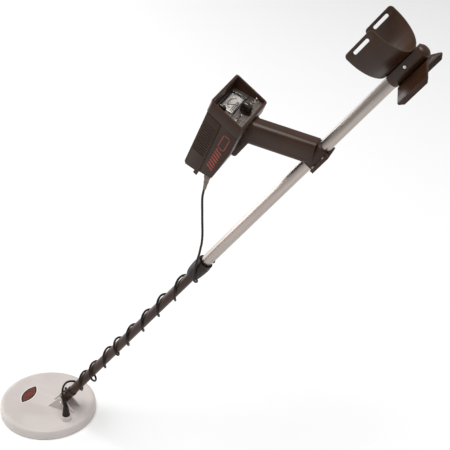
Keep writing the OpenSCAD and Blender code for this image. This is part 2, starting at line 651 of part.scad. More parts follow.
// -------------------------------------------------------------------- arm rest
cuff_back = tube_end + 3;
cuff_front = cuff_back - cuff_l - 7;
cuff_ro = cuff_r + cuff_wall;
cuff_n = cuff_ro + tube_r + 0.9;
cuff_top = 13;
cuff_corner = 7;
slot_n = cuff_n + 4.5;
slot_s = cuff_front + cuff_l / 2;
socket_w = tube_r + 1.9;
dome_l = 8;
cuff_floor = cuff_n - cuff_ro;
module cuff_section() difference() {
  union() {
    circle(r = cuff_ro, $fn = 128);
    translate([-cuff_ro, 0]) square([2 * cuff_ro, cuff_top]);
  }
  circle(r = cuff_r, $fn = 128);
  translate([-cuff_r, 0]) square([2 * cuff_r, 2 * cuff_ro]);
  translate([-2 * cuff_ro, cuff_top]) square([4 * cuff_ro, 2 * cuff_ro]);
}
module arm_cuff() color(plastic) stem_frame() difference() {
  intersection() {
    translate([0, cuff_n, cuff_front]) linear_extrude(cuff_l) cuff_section();
    slab(-2 * cuff_ro, 2 * cuff_ro) offset(r = cuff_corner)
      translate([cuff_floor - 20, cuff_front + cuff_corner])
        square([cuff_ro + cuff_top + 20 - cuff_corner, cuff_l - 2 * cuff_corner]);
  }
  mirrored() slab(cuff_r - 5, cuff_ro + 5) {
    translate([slot_n, slot_s - slot_l / 2 + slot_w / 2]) circle(d = slot_w);
    translate([slot_n, slot_s + slot_l / 2 - slot_w / 2]) circle(d = slot_w);
    translate([slot_n - slot_w / 2, slot_s - slot_l / 2 + slot_w / 2]) square([slot_w, slot_l - slot_w]);
  }
  for (s = cuff_screw_s) translate([0, 0, s]) rotate([-90, 0, 0]) cylinder(r = 2.1, h = 40);
}
cuff_screw_s = [cuff_front + 14, cuff_front + 50];
// A round collar on the tube's end, closed by a dome, with a neck up to the cuff
module cuff_socket() color(plastic_dark) stem_frame() difference() {
  union() {
    translate([0, 0, cuff_front - 3]) cylinder(r1 = socket_w - 1, r2 = socket_w, h = 3);
    translate([0, 0, cuff_front]) cylinder(r = socket_w, h = cuff_back - cuff_front);
    translate([0, 0, cuff_back]) scale([1, 1, dome_l / socket_w]) sphere(r = socket_w);
    slab(-socket_w, socket_w) polygon([[0, cuff_front], [0, cuff_back], [cuff_floor - 0.1, cuff_back],
      [cuff_floor - 0.1, cuff_front]]);
  }
  translate([0, 0, cuff_front - 10]) cylinder(r = tube_r + 0.01, h = tube_end - cuff_front + 10.5);
  translate([0, cuff_n, cuff_front - 20]) cylinder(r = cuff_ro + 0.05, h = 200, $fn = 128);
  slab(-20, 20) translate([-20, cuff_front - 10]) square([20 + stand_n + 0.1, 120]);
  for (s = cuff_screw_s) translate([0, 0, s]) rotate([-90, 0, 0]) cylinder(r = 1.7, h = 60);
}
module cuff_screws() color("#d8d4cf") stem_frame() {
  for (s = cuff_screw_s) translate([0, cuff_n - cuff_r + 0.3, s]) rotate([-90, 0, 0])
    screw(3.6, 1.8, 1.6, cuff_n - cuff_r - tube_r - 0.4);
  for (x = [-1, 1]) translate([x * (socket_w + 0.02), 4, cuff_front + 37]) rotate([0, 90 * x, 0])
    screw(3, 1.6, 1.2, 0);
}
stand_n = -tube_r - 1.5;
leg_s = cuff_front + 2;
leg_out = 53;
leg_foot_n = -26;
leg_t_foot = 3;
leg_back = 1;
leg_l = 68;
lip_h = 9;
lip_in = 8;
module stand() color(plastic) stem_frame() {
  // The plate under the collar and two splayed legs with turned-down lips
  slab(-socket_w, socket_w) translate([stand_n - leg_t, leg_s]) square([leg_t, leg_l]);
  mirrored() hull() {
    translate([socket_w - 1, stand_n - leg_t, leg_s]) cube([1, leg_t, leg_l]);
    translate([leg_out - 1, leg_foot_n - leg_t_foot, leg_s - leg_back]) cube([1, leg_t_foot, leg_l]);
  }
  mirrored() hull() {
    translate([leg_out - leg_t_foot, leg_foot_n - 3, leg_s - leg_back]) cube([leg_t_foot, 2, leg_l]);
    translate([leg_out - leg_t_foot, leg_foot_n - lip_h, leg_s - leg_back + lip_in])
      cube([leg_t_foot, 1, leg_l - 2 * lip_in]);
  }
}
module tube_end_plug() color(black) stem_frame() {
  translate([0, 0, tube_end - 10]) cylinder(r = tube_r - tube_wall - 0.02, h = 10.4);
}

// ----------------------------------------------------------------------- cable
winding_front = 55.5;
winding_back = collar_s - 6;
winding_out = stem_r + cable_d + 1;
// Routes in the stem frame, in millimetres
upper_route = [[-36, 98, 677], [-36, 95, 670], [-35, 90, 660], [-32, 82, 647], [-30, 72, 633],
  [-27, 58, 613], [-25, 44, 594], [-22, 33, 576], [-20, 26, 561], [-19, 20, 548], [-19, 15, 536],
  [-19, 9, 522], [-19, 2, 509], [-18, -5, 498], [-15, -10, 491], [-10, -13, 487]];
module cable_upper() color(black) stem_frame() tube(upper_route, cable_r, 8);
winding_wall = 2.4;
winding_end = 3;
// The outer shape of the wound cable: a thin sleeve closed down to the stem at both ends
module cable_winding() color(black) stem_frame() difference() {
  ring(winding_out, stem_r + 0.02, winding_front, winding_back);
  ring(winding_out - winding_wall, stem_r - 1, winding_front + winding_end, winding_back - winding_end);
}
lower_route = [[14, -3, 53], [13, 3, 51], [11, 9, 50], [7, 14, 49], [2, 18, 49], [-4, 21, 48],
  [-10, 22, 47], [-16, 21, 44], [-21, 17, 39], [-25, 12, 35], [-28, 7, 32]];
module cable_lower() color(black) stem_frame() tube(lower_route, cable_r, 8);

// A tube of n sides swept along a list of points.
function tangent(p, i) = unit(p[min(i + 1, len(p) - 1)] - p[max(i - 1, 0)]);
function section(p, i, r, n) =
  let (t = tangent(p, i), u = unit(cross(t, [0.2, -0.5, 1])), v = cross(t, u))
  [for (k = [0 : n - 1]) p[i] + r * (u * cos(360 * k / n) + v * sin(360 * k / n))];
module tube(p, r, n) polyhedron(
  points = [for (i = [0 : len(p) - 1]) each section(p, i, r, n)],
  faces = concat([[for (k = [n - 1 : -1 : 0]) k]],
    [for (i = [0 : len(p) - 2], k = [0 : n - 1]) let (j = (k + 1) % n)
      [i * n + k, i * n + j, (i + 1) * n + j, (i + 1) * n + k]],
    [[for (k = [0 : n - 1]) (len(p) - 1) * n + k]]));

coil_top_shell();
coil_bottom_cover();
transmit_winding();
receive_winding();
coil_label();
cable_boot();
pivot_bolt();
wing_nut();
lower_stem();
stem_foot();
friction_washers();
cable_tie();
stem_end_plug();
snap_button();
snap_spring();
cable_upper();
cable_winding();
cable_lower();
locking_collar();
collar_insert();
collet();
upper_tube();
grip();
grip_clamp();
clamp_screws();
housing_body();
hood();
control_panel();
meter_case();
meter_dial();
meter_needle();
meter_lens();
large_knob();
small_knob();
potentiometers();
left_switch();
left_lever();
right_switch();
right_lever();
headphone_jack();
circuit_board();
speaker();
battery_left();
battery_right();
battery_clips();
battery_door_left();
battery_door_right();
cable_socket();
cable_plug();
housing_screws();
arm_cuff();
cuff_socket();
stand();
cuff_screws();
tube_end_plug();
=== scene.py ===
import math

import bmesh
import bpy
import numpy as np
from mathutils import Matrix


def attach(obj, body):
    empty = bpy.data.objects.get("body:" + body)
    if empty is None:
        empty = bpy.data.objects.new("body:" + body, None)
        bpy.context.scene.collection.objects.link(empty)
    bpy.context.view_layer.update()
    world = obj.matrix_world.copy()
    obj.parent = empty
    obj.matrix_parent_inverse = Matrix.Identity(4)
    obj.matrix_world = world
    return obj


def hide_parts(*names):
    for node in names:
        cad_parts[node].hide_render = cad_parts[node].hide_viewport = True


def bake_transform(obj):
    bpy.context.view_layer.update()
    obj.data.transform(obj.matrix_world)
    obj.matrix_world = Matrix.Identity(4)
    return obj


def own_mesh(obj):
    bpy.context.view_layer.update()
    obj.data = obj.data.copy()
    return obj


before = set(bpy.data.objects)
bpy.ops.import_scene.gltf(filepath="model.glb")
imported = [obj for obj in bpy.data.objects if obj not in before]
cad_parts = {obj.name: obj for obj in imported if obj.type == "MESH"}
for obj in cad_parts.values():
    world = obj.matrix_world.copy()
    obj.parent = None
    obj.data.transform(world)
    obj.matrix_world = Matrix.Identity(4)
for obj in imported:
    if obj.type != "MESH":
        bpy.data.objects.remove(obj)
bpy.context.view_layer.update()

# ---------------------------------------------------------------- camera
# A long lens at waist height, to the operator's left and a little behind,
# looking 31 degrees down along the whole detector.
heading, pitch, roll = math.radians(70.06), math.radians(30.79), math.radians(2.5)
away = np.array([math.sin(heading), math.cos(heading), 0])
side = np.array([math.cos(heading), -math.sin(heading), 0])
down = np.array([0, 0, -1.0])
forward = away * math.cos(pitch) + down * math.sin(pitch)
upward = away * math.sin(pitch) - down * math.cos(pitch)
camera = bpy.data.objects.new("camera", bpy.data.cameras.new("camera"))
bpy.context.scene.collection.objects.link(camera)
camera.data.sensor_width, camera.data.lens = 36, 94.16
camera.matrix_world = [
    [*(side[i] * math.cos(roll) + upward[i] * math.sin(roll),
       upward[i] * math.cos(roll) - side[i] * math.sin(roll), -forward[i]),
     (-1.7288, -0.5337, 0.9021)[i]] for i in range(3)] + [[0, 0, 0, 1]]
camera.matrix_world.transpose()
bpy.context.scene.camera = camera
bpy.context.scene.view_settings.view_transform = "Standard"

# ---------------------------------------------------------------- coil cable
# One 4.4 mm cable with a soft black rubber jacket runs from the plug to the coil. It hangs free
# down to the collar, winds round the lower stem, and loops over the pivot into its boot. It is
# made in three lengths: the hanging one rides on the upper stem and the winding on the lower stem,
# so that both follow when the stem slides; the loop stays where it is.
CABLE_D = 0.0044
STEM_TILT = math.radians(54)
PIVOT = np.array([0, 0.440823, -0.712222])


def on_stem(points):
    """Stem millimetres to metres: x stays, n and s turn about X by the stem's tilt, from the pivot."""
    x, n, s = np.moveaxis(np.asarray(points, float) / 1000, -1, 0)
    cos, sin = math.cos(STEM_TILT), math.sin(STEM_TILT)
    return np.stack([x, PIVOT[1] - s * cos + n * sin, PIVOT[2] + s * sin + n * cos], -1)


def smooth_line(knots, per_span=8):
    """Catmull-Rom: each span is the cubic that leaves a knot along the chord of its two neighbours."""
    k = np.asarray(knots, float)
    k = np.vstack([2 * k[0] - k[1], k, 2 * k[-1] - k[-2]])
    t = np.linspace(0, 1, per_span, endpoint=False)[None, :, None]
    a, b, c, d = (k[i:len(k) - 3 + i, None] for i in range(4))
    line = b + 0.5 * t * (c - a + t * (2 * a - 5 * b + 4 * c - d + t * (3 * (b - c) + d - a)))
    return np.vstack([line.reshape(-1, 3), k[-2:-1]])


def unit(v):
    return v / np.linalg.norm(v, axis=-1, keepdims=True)


def tube_grid(path, radius, sides, across):
    """Circles of the given radius square to the path, each started from the direction `across`."""
    tangent = unit(np.gradient(path, axis=0))
    u = unit(np.cross(tangent, across))
    v = np.cross(tangent, u)
    turn = np.linspace(0, 2 * np.pi, sides, endpoint=False)[None, :, None]
    r = np.broadcast_to(np.asarray(radius, float).reshape(-1, 1, 1), (len(path), 1, 1))
    return path[:, None] + r * (u[:, None] * np.cos(turn) + v[:, None] * np.sin(turn))


def grid_mesh(name, grid, uv_size=None):
    """A closed skin over a grid of rows (along) and columns (around), with its first and last row filled."""
    rows, cols = grid.shape[:2]
    i = (np.arange(rows - 1)[:, None] * cols)
    j = np.arange(cols)[None]
    k = (j + 1) % cols
    quads = np.stack([i + j, i + k, i + cols + k, i + cols + j], -1).reshape(-1, 4)
    faces = quads.tolist() + [list(range(cols))[::-1], list(range((rows - 1) * cols, rows * cols))]
    mesh = bpy.data.meshes.new(name)
    mesh.from_pydata(grid.reshape(-1, 3).tolist(), [], faces)
    if uv_size:
        row, col = np.meshgrid(np.arange(rows - 1), np.arange(cols), indexing="ij")
        corner = np.stack([np.stack([col + c, row + r], -1) for r, c in ((0, 0), (0, 1), (1, 1), (1, 0))], 2)
        uv = corner.reshape(-1, 2) * [uv_size[0] / cols, uv_size[1] / (rows - 1)]
        uv = np.vstack([uv, np.zeros((2 * cols, 2))])
        mesh.uv_layers.new(name="UVMap").data.foreach_set("uv", uv.ravel())
    outward(mesh)
    return mesh


def outward(mesh):
    """Merge doubles and turn every face outwards."""
    bm = bmesh.new()
    bm.from_mesh(mesh)
    bmesh.ops.remove_doubles(bm, verts=bm.verts, dist=1e-7)
    bmesh.ops.recalc_face_normals(bm, faces=bm.faces)
    bm.to_mesh(mesh)
    bm.free()
    mesh.shade_smooth()


def fit(mesh, finish, body, slot, *nodes, angle=None):
    """Put a finished mesh on its body, in place of the solids it stands for."""
    if angle:
        mesh.set_sharp_from_angle(angle=math.radians(angle))
    mesh.materials.clear()
    mesh.materials.append(finish)
    piece = bpy.data.objects.new(mesh.name, mesh)
    bpy.context.scene.collection.objects.link(piece)
    if body:
        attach(piece, body)
    if nodes:
        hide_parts(*nodes)
    return piece


def linear(code):
    """An sRGB hex colour as linear red, green, blue and alpha."""
    c = np.array([int(code[i:i + 2], 16) for i in (1, 3, 5)]) / 255
    return (*np.where(c <= 0.04045, c / 12.92, ((c + 0.055) / 1.055) ** 2.4).tolist(), 1.0)


def add(tree, kind, inputs=None, links=None, **settings):
    """Add one shader node with its settings, its input values, and its links from (node, output)."""
    node = tree.nodes.new(kind)
    for key, value in settings.items():
        setattr(node, key, value)
    for key, value in (inputs or {}).items():
        node.inputs[key].default_value = value
    for key, (source, output) in (links or {}).items():
        tree.links.new(source.outputs[output], node.inputs[key])
    return node


def start_finish(name, **inputs):
    """A new material with its shader, its Object coordinates, and the shader's own constants."""
    finish = bpy.data.materials.new(name)
    finish.use_nodes = True
    tree = finish.node_tree
    tree.nodes.clear()
    shader = add(tree, "ShaderNodeBsdfPrincipled", {k.replace("_", " "): v for k, v in inputs.items()})
    add(tree, "ShaderNodeOutputMaterial", links={"Surface": (shader, "BSDF")})
    return finish, tree, shader, add(tree, "ShaderNodeTexCoord")


def mottle(tree, shader, place, low, high, scale, rough=None, depth=0.0, detail=4.0, ends=(0.35, 0.65)):
    """Tie the shader's colour, roughness and bump to one noise of the given scale (cells a metre)."""
    noise = add(tree, "ShaderNodeTexNoise", {"Scale": scale, "Detail": detail}, {"Vector": place})
    tone = add(tree, "ShaderNodeValToRGB", links={"Fac": (noise, "Fac")})
    tone.color_ramp.elements[0].position, tone.color_ramp.elements[1].position = ends
    tone.color_ramp.elements[0].color, tone.color_ramp.elements[1].color = linear(low), linear(high)
    tree.links.new(tone.outputs["Color"], shader.inputs["Base Color"])
    if rough:
        worn = add(tree, "ShaderNodeMapRange", {"To Min": rough[0], "To Max": rough[1]},
                   {"Value": (noise, "Fac")})
        tree.links.new(worn.outputs["Result"], shader.inputs["Roughness"])
    if depth:
        bump = add(tree, "ShaderNodeBump", {"Distance": depth}, {"Height": (noise, "Fac")})
        tree.links.new(bump.outputs["Normal"], shader.inputs["Normal"])
    return noise


# Extruded rubber jacket: nearly black, half matt, with a faint brown bloom every few millimetres.
jacket, tree, shader, place = start_finish("extruded_rubber_jacket", IOR=1.5, Specular_IOR_Level=0.25)
mottle(tree, shader, (place, "Object"), "#130c08", "#2a1d15", 240, rough=(0.35, 0.55), depth=0.0001)

hanging = smooth_line(on_stem([
    [-36, 98, 677], [-36, 95, 670], [-35, 90, 660], [-32, 82, 647], [-30, 72, 633], [-27, 58, 613],
    [-25, 44, 594], [-22, 33, 576], [-20, 26, 561], [-19, 20, 548], [-19, 15, 536], [-19, 9, 522],
    [-19, 2, 509], [-18, -5, 498], [-15, -10, 491], [-10, -13, 487]]))

# The winding turns by phi from the stem's underside; near half-turns climb 45 mm, far ones 10 mm.
under_s = [483, 409, 352, 296, 240, 202, 150, 103, 55]
over_s = [461, 395, 339, 284, 232, 195, 136, 98]
over_r = [13, 13.5, 12.6, 12.1, 14, 13.2, 12.2, 12.1]
under_r = [15, 13.2, 13.2, 13.2, 13, 13, 13, 20, 12.6]
half_turns = np.arange(17)
cross_s = np.array([under_s[k // 2] if k % 2 == 0 else over_s[k // 2] for k in half_turns], float)
cross_r = np.array([under_r[k // 2] if k % 2 == 0 else over_r[k // 2] for k in half_turns], float)
phi = np.radians(np.linspace(-127.6, -90 + 180 * 16 + 78, 620))
turn = (phi / np.pi) + 0.5
half_s = np.concatenate([[487], cross_s, [53]])
half_at = np.concatenate([[-0.2089], half_turns, [16.4333]])
wound_s = np.interp(turn, half_at, half_s)
quarter_at = np.concatenate([[-0.2089], np.arange(0, 16.01, 0.5), [16.4333]])
quarter_r = np.array([16.4] + [cross_r[k // 2] if k % 2 == 0 else 12.3 for k in range(33)] + [14.3])
wound_r = np.interp(turn, quarter_at, quarter_r)
blur = np.hanning(33) / np.hanning(33).sum()
ramp = np.minimum(1, np.minimum(np.arange(620), np.arange(620)[::-1]) / 24)
wound_s = wound_s + ramp * (np.convolve(np.pad(wound_s, 16, mode="edge"), blur, "valid") - wound_s)
wound_r = wound_r + ramp * (np.convolve(np.pad(wound_r, 16, mode="edge"), blur, "valid") - wound_r)
wound = on_stem(np.stack([wound_r * np.cos(phi), wound_r * np.sin(phi), wound_s], -1))

looping = smooth_line(on_stem([
    [14, -3, 53], [13, 3, 51], [11, 9, 50], [7, 14, 49], [2, 18, 49], [-4, 21, 48],
    [-10, 22, 47], [-16, 21, 44], [-21, 17, 39], [-25, 12, 35], [-28, 7, 32]]))


def lay_cable(name, path, body, across, node):
    """One length of the cable: a round tube of the cable's own diameter along its path."""
    length = float(np.linalg.norm(np.diff(path, axis=0), axis=1).sum())
    mesh = grid_mesh(name, tube_grid(path, CABLE_D / 2, 16, across), (CABLE_D * np.pi, length))
    piece = fit(mesh, jacket, body, "cable_rubber", node)
    return piece


stem_axis = on_stem([0, 0, 1000]) - PIVOT
lay_cable("coil_cable_hanging", hanging, "upper_stem", [1.0, 0, 0], "cable_upper")
winding = lay_cable("coil_cable_wound", wound, "lower_stem", stem_axis, "cable_winding")
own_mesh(winding)
loop = lay_cable("coil_cable_loop", looping, None, stem_axis, "cable_lower")
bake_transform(loop)

# ---------------------------------------------------------------- search coil
# Two pressed-together shells of light grey ABS hold the windings. The top has two tall ears for
# the stem's foot and a boss for the cable; every edge has the soft radius of a moulding.


def clean_copy(node):
    """The solid with its doubles merged and its flat faces rejoined, ready for a bevel."""
    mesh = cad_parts[node].data.copy()
    mesh.name = node + "_moulded"
    bm = bmesh.new()
    bm.from_mesh(mesh)
    bmesh.ops.remove_doubles(bm, verts=bm.verts, dist=2e-6)
    bmesh.ops.dissolve_limit(bm, angle_limit=math.radians(1.0), verts=bm.verts, edges=bm.edges)
    bm.normal_update()
    bm.to_mesh(mesh)
    bm.free()
    mesh.shade_smooth()
    return mesh


def mould(node, edge, finish, body, slot, angle=32, steps=3):
    """Fit a copy of a solid, with each sharp edge rounded by `edge` metres in a live modifier."""
    piece = fit(clean_copy(node), finish, body, slot, node)
    bevel = piece.modifiers.new("edge radius", "BEVEL")
    bevel.width, bevel.segments, bevel.limit_method = edge, steps, "ANGLE"
    bevel.angle_limit, bevel.harden_normals = math.radians(angle), True
    return piece


# Light grey ABS: matt grain half a millimetre across, drawn at 3 mm so that it shows, and a
# slow change of tone over the disc where the moulding has yellowed.
coil_abs, tree, shader, place = start_finish("light_grey_moulded_abs", IOR=1.53, Coat_Weight=0.05,
                                             Coat_Roughness=0.3)
mottle(tree, shader, (place, "Object"), "#c8bfbb", "#d0c7c3", 14, rough=(0.4, 0.52))
grain = add(tree, "ShaderNodeTexNoise", {"Scale": 900.0, "Detail": 3.0}, {"Vector": (place, "Object")})
bump = add(tree, "ShaderNodeBump", {"Distance": 0.00012, "Strength": 0.6}, {"Height": (grain, "Fac")})
tree.links.new(bump.outputs["Normal"], shader.inputs["Normal"])
mould("coil_top_shell", 0.0009, coil_abs, "coil", "coil_plastic")
mould("coil_bottom_cover", 0.0006, coil_abs, "coil", "coil_plastic")

# Enamelled copper: the wires lie side by side, 0.8 mm apart, so bands run round both windings.
copper, tree, shader, place = start_finish("enamelled_copper_wire", Metallic=1.0, Roughness=0.32)
shader.inputs["Base Color"].default_value = linear("#a8643a")
wires = add(tree, "ShaderNodeTexWave", {"Scale": 200.0, "Distortion": 0.4}, {"Vector": (place, "Object")},
            bands_direction="Z")
bump = add(tree, "ShaderNodeBump", {"Distance": 0.0003}, {"Height": (wires, "Fac")})
tree.links.new(bump.outputs["Normal"], shader.inputs["Normal"])
for node in ("transmit_winding", "receive_winding"):
    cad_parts[node].data.materials.clear()
    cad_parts[node].data.materials.append(copper)


# The label is a pointed oval of printed film: a white margin, a black line and a brick-red field
# with a plain ring of dashes. Its layers are printed one over the other.
label_at = np.array([0.0028, PIVOT[1] + 0.039 + 0.048, PIVOT[2] - 0.040 + 0.0212])


def pointed_oval(length, width, count=48):
    """Two arcs through both tips: y = sqrt(R^2 - x^2) - (R - w/2), with R from the length and width."""
    radius = (length ** 2 + width ** 2) / (4 * width)
    x = np.cos(np.linspace(0, np.pi, count)) * length / 2
    y = np.sqrt(radius ** 2 - x ** 2) - (radius - width / 2)
    return np.vstack([np.stack([x, y], -1), np.stack([-x, -y], -1)[1:-1]])


def film(name, outline, bottom, top, finish, body, slot, *nodes):
    """A flat piece: its outline at two heights, walled and filled."""
    rows = [np.column_stack([outline, np.full(len(outline), z)]) for z in (bottom, top)]
    return fit(grid_mesh(name, np.stack(rows)), finish, body, slot, *nodes, angle=30)


white_film, tree, shader, place = start_finish("white_printed_film", Roughness=0.35, IOR=1.5)
mottle(tree, shader, (place, "Object"), "#e4deda", "#f0ebe7", 300)
black_film, tree, shader, place = start_finish("black_printed_film", Roughness=0.3, IOR=1.5)
mottle(tree, shader, (place, "Object"), "#171313", "#261d1b", 400)
red_film, tree, shader, place = start_finish("brick_red_printed_film", Roughness=0.32, IOR=1.5)
mottle(tree, shader, (place, "Object"), "#5c271d", "#743629", 180, detail=6.0)
margin = pointed_oval(0.064, 0.029) + label_at[:2]
film("label_margin", margin, label_at[2], label_at[2] + 0.0004, white_film, "coil", "label_red", "coil_label")
film("label_border", pointed_oval(0.060, 0.0252) + label_at[:2], label_at[2] + 0.0003, label_at[2] + 0.00052,
     black_film, "coil", "label_red")
film("label_field", pointed_oval(0.052, 0.0185) + label_at[:2], label_at[2] + 0.0004, label_at[2] + 0.00064,
     red_film, "coil", "label_red")
dash_at = np.linspace(0, 2 * np.pi, 28, endpoint=False)[:, None, None, None]
dash_r = np.array([0.0052, 0.0062])[None, :, None, None]
dash_w = np.array([-0.06, 0.06])[None, None, :, None]
dash = np.concatenate([1.9 * dash_r * np.cos(dash_at + dash_w), dash_r * np.sin(dash_at + dash_w)], -1)
dash = dash.reshape(28, 4, 2)[:, [0, 1, 3, 2]] + label_at[:2]
mesh = bpy.data.meshes.new("label_dashes")
lower = np.concatenate([dash, np.full((28, 4, 1), label_at[2] + 0.0006)], -1)
upper = np.concatenate([dash, np.full((28, 4, 1), label_at[2] + 0.00072)], -1)
box_faces = np.array([[3, 2, 1, 0], [4, 5, 6, 7], [0, 1, 5, 4], [1, 2, 6, 5], [2, 3, 7, 6], [3, 0, 4, 7]])
mesh.from_pydata(np.concatenate([lower, upper], 1).reshape(-1, 3).tolist(), [],
                 (box_faces[None] + 8 * np.arange(28)[:, None, None]).reshape(-1, 4).tolist())
outward(mesh)
fit(mesh, black_film, "coil", "label_red", angle=30)

# ---------------------------------------------------------------- cable boot
# A black rubber boot stands on the coil's boss and bends the cable up towards the pivot. Its lower
# half is a plain cone and its upper half has the grooves that let it flex.
boot_foot = np.array([-0.0375, PIVOT[1] + 0.039 - 0.0635, PIVOT[2] - 0.040 + 0.0325])
boot_knee = boot_foot + [0, 0, 0.024]
boot_tip = np.array([-0.028, PIVOT[1] + 0.039 - 0.052, PIVOT[2] - 0.040 + 0.070])


def turned(name, foot, tip, profile, sides=48):
    """A lathe form from foot to tip; each profile row is (mm along, mm radius)."""
    axis = unit(tip - foot)
    u = unit(np.cross(axis, [0.31, 0.87, -0.4]))
    v = np.cross(axis, u)
    along, radius = (np.array(profile, float).T / 1000)[:, :, None, None]
    angle = np.linspace(0, 2 * np.pi, sides, endpoint=False)[None, :, None]
    return grid_mesh(name, foot + axis * along + radius * (u * np.cos(angle) + v * np.sin(angle)))


cone_profile = [[0.1, 0.3], [0.1, 7.6], [0.8, 8.2], [2.6, 8.2], [3.6, 7.7], [12, 6.6], [22, 5.6], [25, 5.0],
                [26.5, 3.6], [27, 0.3]]
rib_profile = [[-3.5, 0.3], [-3.2, 3.4], [-1, 4.4], [2.2, 4.2]]
for k in range(5):
    step, rib_r = 2.5 + 3.5 * k, 5.3 - 0.35 * k
    rib_profile += [[step, rib_r - 1.5], [step + 0.2, rib_r - 0.15], [step + 0.5, rib_r], [step + 1.9, rib_r],
                    [step + 2.2, rib_r - 0.15], [step + 2.4, rib_r - 1.6]]
rib_profile += [[19.2, 3.0], [19.4, 2.7], [19.4, 2.25]]
boot_rubber, tree, shader, place = start_finish("moulded_black_rubber", IOR=1.5, Specular_IOR_Level=0.25)
mottle(tree, shader, (place, "Object"), "#0e0906", "#211711", 260, rough=(0.35, 0.55), depth=0.00008)
fit(turned("cable_boot_cone", boot_foot, boot_knee, cone_profile), boot_rubber, "coil", "cable_rubber",
    "cable_boot", angle=35)
fit(turned("cable_boot_ribs", boot_knee, boot_tip, rib_profile), boot_rubber, "coil", "cable_rubber",
    angle=35)

# ---------------------------------------------------------------- pivot
# A plated bolt and a black wing nut clamp the ears on the stem's foot, with a rubber washer each
# side. The wing nut is on the right.
black_nylon, tree, shader, place = start_finish("black_moulded_nylon", IOR=1.5, Specular_IOR_Level=0.3)
mottle(tree, shader, (place, "Object"), "#150e0a", "#291c15", 200, rough=(0.26, 0.42), depth=0.00006)
# Nickel plate: a warm white metal, with faint wiping marks.
nickel, tree, shader, place = start_finish("nickel_plated_steel", Metallic=1.0)
mottle(tree, shader, (place, "Object"), "#c0bab2", "#dcd8d2", 350, rough=(0.16, 0.3), depth=0.00002)
mould("pivot_bolt", 0.0005, nickel, "coil", "bright_metal")
mould("wing_nut", 0.0007, black_nylon, "wing_nut", "black_plastic")
mould("friction_washers", 0.0003, boot_rubber, "lower_stem", "cable_rubber")

# ---------------------------------------------------------------- lower stem
# The lower stem is a brown plastic tube, with a moulded foot plugged into its end. It carries the
# sprung button that locks the stem's length.
# Brown ABS: satin, warm and very dark, with half-millimetre grain drawn at 2 mm so that it shows.
brown_abs, tree, shader, place = start_finish("dark_brown_moulded_abs", IOR=1.5, Specular_IOR_Level=0.36)
mottle(tree, shader, (place, "Object"), "#321c10", "#3c2617", 16, rough=(0.31, 0.42))
grain = add(tree, "ShaderNodeTexNoise", {"Scale": 1100.0, "Detail": 3.0}, {"Vector": (place, "Object")})
bump = add(tree, "ShaderNodeBump", {"Distance": 0.00012, "Strength": 0.5}, {"Height": (grain, "Fac")})
tree.links.new(bump.outputs["Normal"], shader.inputs["Normal"])
mould("lower_stem", 0.0004, brown_abs, "lower_stem", "stem_plastic")
mould("stem_foot", 0.0008, brown_abs, "lower_stem", "stem_plastic")
mould("stem_end_plug", 0.0005, black_nylon, "lower_stem", "black_plastic")
mould("snap_button", 0.0004, black_nylon, "snap_button", "black_plastic")

# Spring steel strip, blued by its temper.
spring_steel, tree, shader, place = start_finish("blued_spring_steel", Metallic=1.0)
mottle(tree, shader, (place, "Object"), "#7e7f86", "#9a9a9d", 220, rough=(0.25, 0.4))
mould("snap_spring", 0.0001, spring_steel, "lower_stem", "bright_metal")

# A hook-and-loop tie holds the cable at the foot of the stem: woven nylon with a 1 mm rib.
tie_tape, tree, shader, place = start_finish("woven_black_nylon_tape", Sheen_Weight=0.35, Sheen_Roughness=0.4)
mottle(tree, shader, (place, "Object"), "#17110e", "#2a201a", 500, rough=(0.75, 0.95))
weave = add(tree, "ShaderNodeTexWave", {"Scale": 320.0, "Distortion": 1.5}, {"Vector": (place, "Object")},
            bands_direction="Z")
bump = add(tree, "ShaderNodeBump", {"Distance": 0.0003}, {"Height": (weave, "Fac")})
tree.links.new(bump.outputs["Normal"], shader.inputs["Normal"])
mould("cable_tie", 0.0004, tie_tape, "lower_stem", "tie_fabric")

# ---------------------------------------------------------------- locking collar
# A ribbed black nut screws over a sleeve on the upper tube and squeezes a split collet on the stem.
mould("locking_collar", 0.0005, black_nylon, "locking_collar", "black_plastic")
mould("collar_insert", 0.0004, brown_abs, "upper_stem", "brown_plastic")
nylon_collet, tree, shader, place = start_finish("grey_nylon_collet", IOR=1.53)
mottle(tree, shader, (place, "Object"), "#555250", "#686360", 200, rough=(0.35, 0.5))
mould("collet", 0.0002, nylon_collet, "upper_stem", "collet_nylon")

# ---------------------------------------------------------------- upper tube
# Seven-eighths aluminium tube, drawn and clear anodised. Drawing leaves fine lines along the tube,
# 0.3 mm apart, drawn at 1 mm so that they show, which soften the highlight across it.
drawn_tube, tree, shader, place = start_finish("drawn_anodised_aluminium", Metallic=1.0)
level = add(tree, "ShaderNodeMapping", {"Rotation": (-math.radians(36), 0, 0)}, {"Vector": (place, "Object")})
draw = add(tree, "ShaderNodeMapping", {"Scale": (1000.0, 1000.0, 9.0)}, {"Vector": (level, "Vector")})
mottle(tree, shader, (draw, "Vector"), "#a0958e", "#b8aea8", 1.0, rough=(0.26, 0.34), depth=0.000005,
       detail=3.0)
mould("upper_tube", 0.0003, drawn_tube, "upper_stem", "bare_tube")

# ---------------------------------------------------------------- grip and clamp
# The grip is a brown moulding that leans forward from the tube to the housing. A
# half clamp under the tube holds it with four plated screws.
mould("grip", 0.0011, brown_abs, "upper_stem", "brown_plastic")
mould("grip_clamp", 0.0008, brown_abs, "upper_stem", "brown_plastic")


